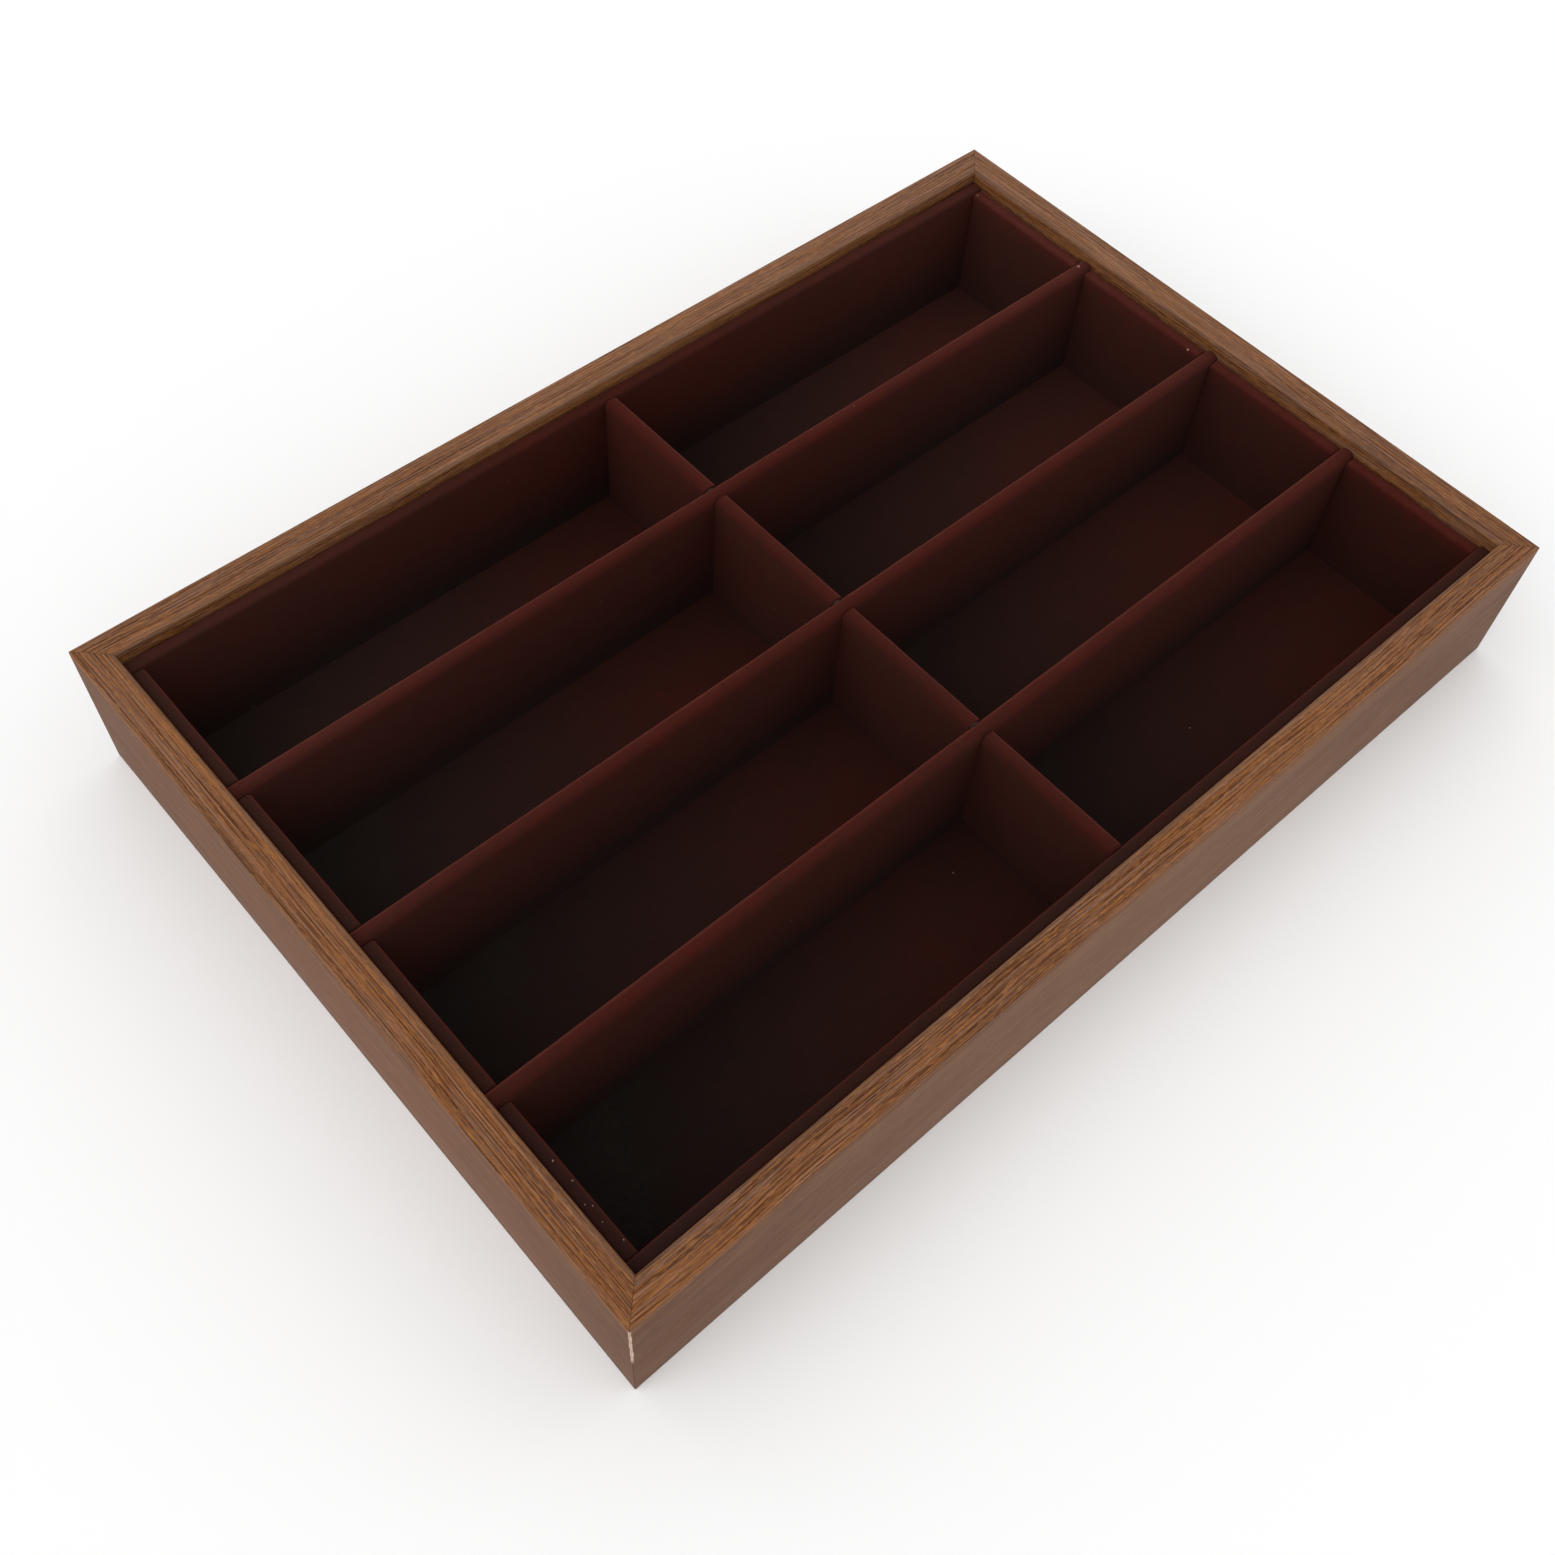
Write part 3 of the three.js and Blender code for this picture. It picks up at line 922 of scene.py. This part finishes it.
@dataclass
class WrappedPanel:
    """A strip of card in a velvet cover, folded over its top edge and ends.

    The cover is made lying along X with its wall side at +Y and its foot at zero, and then put in place.
    Its pile fills most of the clearance at the ends, by end_fill.
    """

    name: str
    body: str
    wrap: Wrap
    seed: int
    fold_round: float
    end_fill: float
    # Its painted light and shade.
    pile: PaintedLight
    slots: list[Slot] = field(default_factory=list)
    cloth: Cloth = field(default_factory=Cloth)
    fold_steps: int = 7
    end_round: float = 0.6 * MM
    end_steps: int = 3
    turn_over: float = 12 * MM

    def __post_init__(self) -> None:
        """Reads the panel's size and place from the frame."""
        low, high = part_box(f"{self.name}_velvet")
        size = high - low
        self.run = Axis.LONG if size.x > size.y else Axis.SHORT
        self.length = size[self.run.value] + 2 * self.end_fill
        self.thickness = size[1 - self.run.value]
        self.height = size.z
        self.foot = (low + high) / 2
        self.foot.z = low.z

    def placing(self) -> Matrix:
        """The move from where the cover is made to where it stands.

        Returns:
            The matrix.
        """
        if self.run is Axis.LONG:
            quarter_turns = 2 if self.foot.y < -TINY else 0
        else:
            quarter_turns = -1 if self.foot.x > TINY else 1
        return Matrix.Translation(self.foot) @ Matrix.Rotation(quarter_turns * math.pi / 2, 4, "Z")

    def block(self) -> bmesh.types.BMesh:
        """The panel's outside with an open foot and rounded folds.

        Returns:
            The mesh.
        """
        bm = bmesh.new()
        bmesh.ops.create_cube(bm, size=1.0)
        bmesh.ops.scale(bm, vec=(self.length, self.thickness, self.height), verts=bm.verts)
        bmesh.ops.translate(bm, vec=(0, 0, self.height / 2), verts=bm.verts)
        foot = [f for f in bm.faces if f.calc_center_median().z < TINY]
        bmesh.ops.delete(bm, geom=foot, context="FACES")
        self.round_off(bm, [e for e in bm.edges if self.is_fold(e)], self.fold_round, self.fold_steps)
        self.round_off(bm, [e for e in bm.edges if self.is_end(e)], self.end_round, self.end_steps)
        return bm

    def is_fold(self, edge: bmesh.types.BMEdge) -> bool:
        """Whether an edge runs along the panel's top."""
        first, second = (v.co for v in edge.verts)
        return abs(first.x - second.x) > TINY and min(first.z, second.z) > self.height - TINY

    def is_end(self, edge: bmesh.types.BMEdge) -> bool:
        """Whether an edge lies round an end of the panel, apart from its foot."""
        first, second = (v.co for v in edge.verts)
        return abs(first.x - second.x) < TINY and max(first.z, second.z) > TINY

    @staticmethod
    def round_off(
        bm: bmesh.types.BMesh, edges: list[bmesh.types.BMEdge], radius: float, steps: int
    ) -> None:
        """Rounds edges.

        Args:
            bm: The mesh.
            edges: Its edges to round.
            radius: The round's radius.
            steps: The faces across it.
        """
        bmesh.ops.bevel(
            bm,
            geom=edges,
            offset=radius,
            offset_type="OFFSET",
            affect="EDGES",
            segments=steps,
            profile=0.5,
            material=-1,
        )

    def lengthwise_cuts(self) -> list[float]:
        """Where the cover is cut along its length, with the slots' sides among the places."""
        sides = [side for slot in self.slots for side in slot.edges()]
        marks = [-self.length / 2, *sorted(sides), self.length / 2]
        spans = [evenly(a, b, self.cloth.pitch) for a, b in zip(marks, marks[1:])]
        return sorted([*sides, *(place for span in spans for place in span)])

    def upright_cuts(self) -> list[float]:
        """Where the cover is cut over its height, with slot ends and the turn-over's edge among them."""
        marks = {end for slot in self.slots for end in (slot.low, slot.high) if 0 < end < self.height}
        if self.wrap is Wrap.TURNED_OVER:
            marks.add(self.height - self.turn_over)
        ends = [0.0, *sorted(marks), self.height]
        spans = [evenly(a, b, self.cloth.pitch) for a, b in zip(ends, ends[1:])]
        return sorted([*marks, *(place for span in spans for place in span)])

    def is_bare(self, point: Vector) -> bool:
        """Whether the velvet leaves a point of the panel's outside bare."""
        if any(slot.holds(point) for slot in self.slots):
            return True
        at_back = point.y > self.thickness / 2 - self.end_round
        below = point.z < self.height - self.turn_over
        return self.wrap is Wrap.TURNED_OVER and at_back and below

    def light_and_pile(self, bm: bmesh.types.BMesh) -> None:
        """Marks the painted light and shade of the placed cover at each vertex.

        Args:
            bm: The cover.
        """
        layer = bm.verts.layers.float.new(Velvet.LIGHT_AND_PILE)
        across = 1 - self.run.value
        for vert in bm.verts:
            above = max(0.0, vert.co.z - self.foot.z)
            side = 2 * (vert.co[across] - self.foot[across]) / self.thickness
            vert[layer] = self.pile.value(above, max(0.0, self.height - above), side)

    def build(self, material: bpy.types.Material) -> bpy.types.Object:
        """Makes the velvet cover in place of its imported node.

        Args:
            material: The velvet.

        Returns:
            The cover.
        """
        bm = self.block()
        self.cloth.cut_across(bm, 0, self.lengthwise_cuts())
        self.cloth.cut_across(bm, 2, self.upright_cuts())
        bare = [f for f in bm.faces if self.is_bare(f.calc_center_median())]
        bmesh.ops.delete(bm, geom=bare, context="FACES")
        self.cloth.unsettle(bm, self.seed)
        self.cloth.thicken(bm)
        bmesh.ops.transform(bm, matrix=self.placing(), verts=bm.verts)
        self.light_and_pile(bm)
        cover = self.cloth.piece(bm, f"{self.name}_cover", material)
        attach(cover, self.body)
        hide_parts(f"{self.name}_velvet")
        log.info("made %s with %d faces", cover.name, len(cover.data.polygons))
        return cover


@dataclass
class RailFrame:
    """The four mitred rails."""

    rails: dict[str, Axis] = field(
        default_factory=lambda: {
            "front_rail": Axis.LONG,
            "back_rail": Axis.LONG,
            "left_rail": Axis.SHORT,
            "right_rail": Axis.SHORT,
        }
    )
    # The long rails' outer faces are lighter, with less painted shade than the short rails'.
    long_calm_painted_shade: Colour = tint(122, 96, 78)

    def dress(self) -> None:
        """Gives each rail walnut with the grain along it."""
        walnuts = {Axis.LONG: Walnut(Axis.LONG, calm_pale_painted_shade=self.long_calm_painted_shade), Axis.SHORT: Walnut(Axis.SHORT)}
        materials = {axis: walnut.material() for axis, walnut in walnuts.items()}
        for node, axis in self.rails.items():
            dress(node, materials[axis])


@dataclass
class Fastenings:
    """The corner nails and the staples under the base."""

    starts: tuple[str, str] = ("corner_nail", "base_staple")

    def dress(self) -> None:
        """Gives each nail and staple its steel."""
        steel = Wire().material()
        for node in nodes_like(*self.starts):
            dress(node, steel)


@dataclass
class Base:
    """The base board and the velvet laid on it.

    From a compartment's left to its right, as a share of its length, its painted light rises out of the
    painted shade by the left wall up to rise_end, and from fall_start it falls by end_fall into painted
    shade. From its front to its back it falls by back_share into the painted shade by the back wall.
    """

    cloth: Cloth = field(default_factory=lambda: Cloth(pitch=2.6 * MM, swell=0.03 * MM, nap=0.02 * MM))
    seed: int = 40
    # The floor's painted shade and painted light, and how they spread across each compartment.
    shade_value: float = -0.35
    light_value: float = 0.68
    rise_end: float = 0.75
    fall_start: float = 0.85
    end_fall: float = 0.4
    back_share: float = 0.3
    pressed: float = 2.5 * MM

    def dress(self) -> None:
        """Gives the board its hardboard."""
        dress("base_board", Hardboard().material())

    def build(self, material: bpy.types.Material) -> bpy.types.Object:
        """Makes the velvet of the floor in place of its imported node.

        Args:
            material: The velvet.

        Returns:
            The floor's velvet.
        """
        low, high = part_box("floor_velvet")
        size = high - low
        bm = bmesh.new()
        counts = [round(size[axis] / self.cloth.pitch) for axis in (0, 1)]
        bmesh.ops.create_grid(bm, x_segments=counts[0], y_segments=counts[1], size=0.5)
        bmesh.ops.scale(bm, vec=(size.x, size.y, 1), verts=bm.verts)
        middle = (low + high) / 2
        bmesh.ops.translate(bm, vec=(middle.x, middle.y, high.z), verts=bm.verts)
        self.cloth.unsettle(bm, self.seed)
        self.cloth.thicken(bm)
        self.light_and_pile(bm, low, high)
        floor = self.cloth.piece(bm, "floor_cloth", material)
        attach(floor, "tray")
        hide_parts("floor_velvet")
        log.info("made %s with %d faces", floor.name, len(floor.data.polygons))
        return floor

    def light_and_pile(self, bm: bmesh.types.BMesh, low: Vector, high: Vector) -> None:
        """Marks the floor's painted light and shade: rising in each compartment, and at the shade value
        where dividers press on it.

        Args:
            bm: The floor's velvet.
            low: Its lowest corner.
            high: Its highest corner.
        """
        layer = bm.verts.layers.float.new(Velvet.LIGHT_AND_PILE)
        columns = self.marks(0, ("cross_divider",), low, high)
        rows = self.marks(1, ("front_divider", "middle_divider", "back_divider"), low, high)
        for vert in bm.verts:
            along = self.share(columns, vert.co.x)
            fall = self.end_fall * max(0.0, along - self.fall_start)
            rise = min(along, self.rise_end) - fall
            share = rise - self.back_share * self.share(rows, vert.co.y)
            stood_on = self.is_pressed(columns, vert.co.x) or self.is_pressed(rows, vert.co.y)
            vert[layer] = self.shade_value if stood_on else self.shade_value + (self.light_value - self.shade_value) * share

    def is_pressed(self, marks: Sequence[float], place: float) -> bool:
        """Whether a divider stands on a place, given where compartments start and end."""
        return any(abs(place - mark) < self.pressed for mark in marks[1:-1])

    @staticmethod
    def marks(axis: int, dividers: Sequence[str], low: Vector, high: Vector) -> list[float]:
        """Where compartments start and end on an axis: at the floor's sides and the dividers' middles."""
        boxes = [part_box(f"{name}_velvet") for name in dividers]
        return [low[axis], *((first[axis] + last[axis]) / 2 for first, last in boxes), high[axis]]

    @staticmethod
    def share(marks: Sequence[float], place: float) -> float:
        """How far along its compartment a place lies, 0 to 1."""
        start, end = next((a, b) for a, b in zip(marks, marks[1:]) if place <= b + TINY)
        return (place - start) / (end - start)


@dataclass
class Lining:
    """The velvet-covered card round the walls: one length on each long rail, four on each short one."""

    fold_round: float = 1.2 * MM
    end_fill: float = 0.18 * MM
    # Painted light and shade for each side's liners: the front and back ones darken to their feet, the
    # left and right ones stay lit, the right ones with a brighter top.
    side_lights: dict[str, PaintedLight] = field(
        default_factory=lambda: {
            "front": PaintedLight((-0.6, 0.12)),
            "left": PaintedLight((0.0, 0.2)),
            "back": PaintedLight((-0.6, 0.3)),
            "right": PaintedLight((0.0, 0.22), crown=0.4),
        }
    )

    def names(self) -> list[str]:
        """The liners' names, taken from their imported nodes."""
        cards = [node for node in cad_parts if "liner" in node and "card" in node]
        return [node.removesuffix("_card") for node in cards]

    def build(self, material: bpy.types.Material) -> None:
        """Makes each liner's cover."""
        for seed, name in enumerate(sorted(self.names())):
            pile = self.side_lights[name.split("_")[0]]
            rounds = (self.fold_round, self.end_fill)
            WrappedPanel(name, "tray", Wrap.TURNED_OVER, seed, *rounds, pile).build(material)


@dataclass
class DividerGrid:
    """The lift-out grid: long dividers slotted from below over one cross divider slotted from above.

    A slot is cut past the edge that it opens at by overrun.
    """

    long_names: tuple[str, ...] = ("front_divider", "middle_divider", "back_divider")
    cross_name: str = "cross_divider"
    fold_round: float = 2.2 * MM
    end_fill: float = 0.25 * MM
    # Painted light and shade: the long dividers darken to their feet, the cross divider stays lit, and
    # both get a painted highlight on the far side of their top edge.
    long_light: PaintedLight = PaintedLight((-0.6, 0.22), crown=0.26, far_highlight=0.62, far_highlight_span=(0.3, 0.79))
    cross_light: PaintedLight = PaintedLight((0.0, 0.2), crown=0.26, far_highlight=0.62, far_highlight_span=(0.3, 0.79))
    lap_clearance: float = 0.3 * MM
    lap_fill: float = 0.15 * MM
    overrun: float = MM
    first_seed: int = 20

    def slot_width(self) -> float:
        """A slot takes the other divider's thickness and what the pile leaves of each clearance."""
        low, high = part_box(f"{self.cross_name}_velvet")
        return high.x - low.x + 2 * (self.lap_clearance - self.lap_fill)

    def half_height(self) -> float:
        """Half of a divider's height, where the slots meet."""
        low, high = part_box(f"{self.cross_name}_velvet")
        return (high.z - low.z) / 2

    def lower_slots(self) -> list[Slot]:
        """The slot of a long divider, open at its foot."""
        high = self.half_height() + self.lap_clearance / 2
        return [Slot(0.0, self.slot_width(), -self.overrun, high)]

    def upper_slots(self) -> list[Slot]:
        """The slots of the cross divider, open at its top edge."""
        low = self.half_height() - self.lap_clearance / 2
        high = 2 * self.half_height() + self.overrun
        boxes = [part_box(f"{name}_velvet") for name in self.long_names]
        places = [(box[0].y + box[1].y) / 2 for box in boxes]
        return [Slot(place, self.slot_width(), low, high) for place in places]

    def build(self, material: bpy.types.Material) -> None:
        """Makes each divider's cover."""
        panels = {name: (self.long_light, self.lower_slots()) for name in self.long_names}
        panels[self.cross_name] = (self.cross_light, self.upper_slots())
        for i, (name, dressing) in enumerate(panels.items()):
            rounds = (self.fold_round, self.end_fill)
            seed = self.first_seed + i
            WrappedPanel(name, name, Wrap.BOTH_FACES, seed, *rounds, *dressing).build(material)


@dataclass
class Studio:
    """A white floor under soft light."""

    floor_side: float = 8.0
    floor_drop: float = 0.1 * MM
    floor_colour: Colour = (0.98, 0.98, 0.98)
    sky: float = 0.84
    background: float = 1.0
    lamp_power: float = 0.8
    lamp_spread: float = math.radians(55)
    lamp_from: tuple[float, float, float] = (-0.8, 0.0, 1.0)

    def build(self) -> None:
        """Makes the floor, the world and the lamp."""
        self.build_floor()
        self.build_world()
        self.build_lamp()

    def build_floor(self) -> None:
        """Makes the floor."""
        bm = bmesh.new()
        bmesh.ops.create_grid(bm, x_segments=1, y_segments=1, size=self.floor_side / 2)
        bmesh.ops.translate(bm, vec=(0, 0, -self.floor_drop), verts=bm.verts)
        bench = Bench("studio_floor")
        bench.shade({"Base Color": self.floor_colour, "Roughness": 1.0, "Specular IOR Level": 0.0})
        floor = Cloth().piece(bm, "studio_floor", bench.material)

    def build_world(self) -> None:
        """Makes a world that lights softly and looks white."""
        world = bpy.data.worlds.new("studio_world")
        world.use_nodes = True
        bpy.context.scene.world = world
        tree = world.node_tree
        rays = tree.nodes.new("ShaderNodeLightPath")
        seen = tree.nodes.new("ShaderNodeMath")
        seen.operation = "MAXIMUM"
        tree.links.new(rays.outputs["Is Camera Ray"], seen.inputs[0])
        tree.links.new(rays.outputs["Is Glossy Ray"], seen.inputs[1])
        through = tree.nodes.new("ShaderNodeMath")
        through.operation = "MAXIMUM"
        tree.links.new(seen.outputs[0], through.inputs[0])
        tree.links.new(rays.outputs["Is Transmission Ray"], through.inputs[1])
        level = tree.nodes.new("ShaderNodeMapRange")
        level.inputs["To Min"].default_value = self.sky
        level.inputs["To Max"].default_value = self.background
        tree.links.new(through.outputs[0], level.inputs["Value"])
        glow = tree.nodes["Background"]
        glow.inputs["Color"].default_value = (1.0, 1.0, 1.0, 1.0)
        tree.links.new(level.outputs[0], glow.inputs["Strength"])

    def build_lamp(self) -> None:
        """Hangs one broad lamp over the left of the tray."""
        lamp = bpy.data.lights.new("overhead", "SUN")
        lamp.energy = self.lamp_power
        lamp.angle = self.lamp_spread
        hung = bpy.data.objects.new("overhead", lamp)
        hung.rotation_mode = "QUATERNION"
        hung.rotation_quaternion = Vector(self.lamp_from).to_track_quat("Z", "Y")
        bpy.context.scene.collection.objects.link(hung)


@dataclass
class PhotoCamera:
    """The camera where the photograph was taken from."""

    place: tuple[float, float, float] = (-0.23110, -0.20748, 0.42717)
    look: tuple[float, float, float] = (0.41327, 0.38399, -0.82569)
    right: tuple[float, float, float] = (0.73876, -0.67151, 0.05747)
    lens: float = 39.502
    sensor: float = 36.0
    shift: Pair = (-0.02068, -0.01978)
    nearest: float = 10 * MM

    def build(self) -> None:
        """Makes the camera and sets it as the scene's."""
        data = bpy.data.cameras.new("photo_camera")
        data.lens = self.lens
        data.sensor_width = self.sensor
        data.shift_x, data.shift_y = self.shift
        data.clip_start = self.nearest
        made = bpy.data.objects.new("photo_camera", data)
        back = -Vector(self.look)
        right = Vector(self.right)
        axes = Matrix((right, back.cross(right), back)).transposed()
        made.matrix_world = Matrix.Translation(self.place) @ axes.to_4x4()
        bpy.context.scene.collection.objects.link(made)
        bpy.context.scene.camera = made


def main() -> None:
    """Builds and dresses the tray, and sets up the studio."""
    logging.basicConfig(level=logging.INFO, format="%(name)s: %(message)s")
    bpy.context.scene.view_settings.view_transform = "Standard"
    PhotoCamera().build()
    Studio().build()
    RailFrame().dress()
    Fastenings().dress()
    greyboard = Greyboard().material()
    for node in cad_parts:
        if node.endswith("_card"):
            dress(node, greyboard)
    velvet = Velvet().material()
    base = Base()
    base.dress()
    base.build(velvet)
    Lining().build(velvet)
    DividerGrid().build(velvet)


if __name__ == "__main__":
    main()
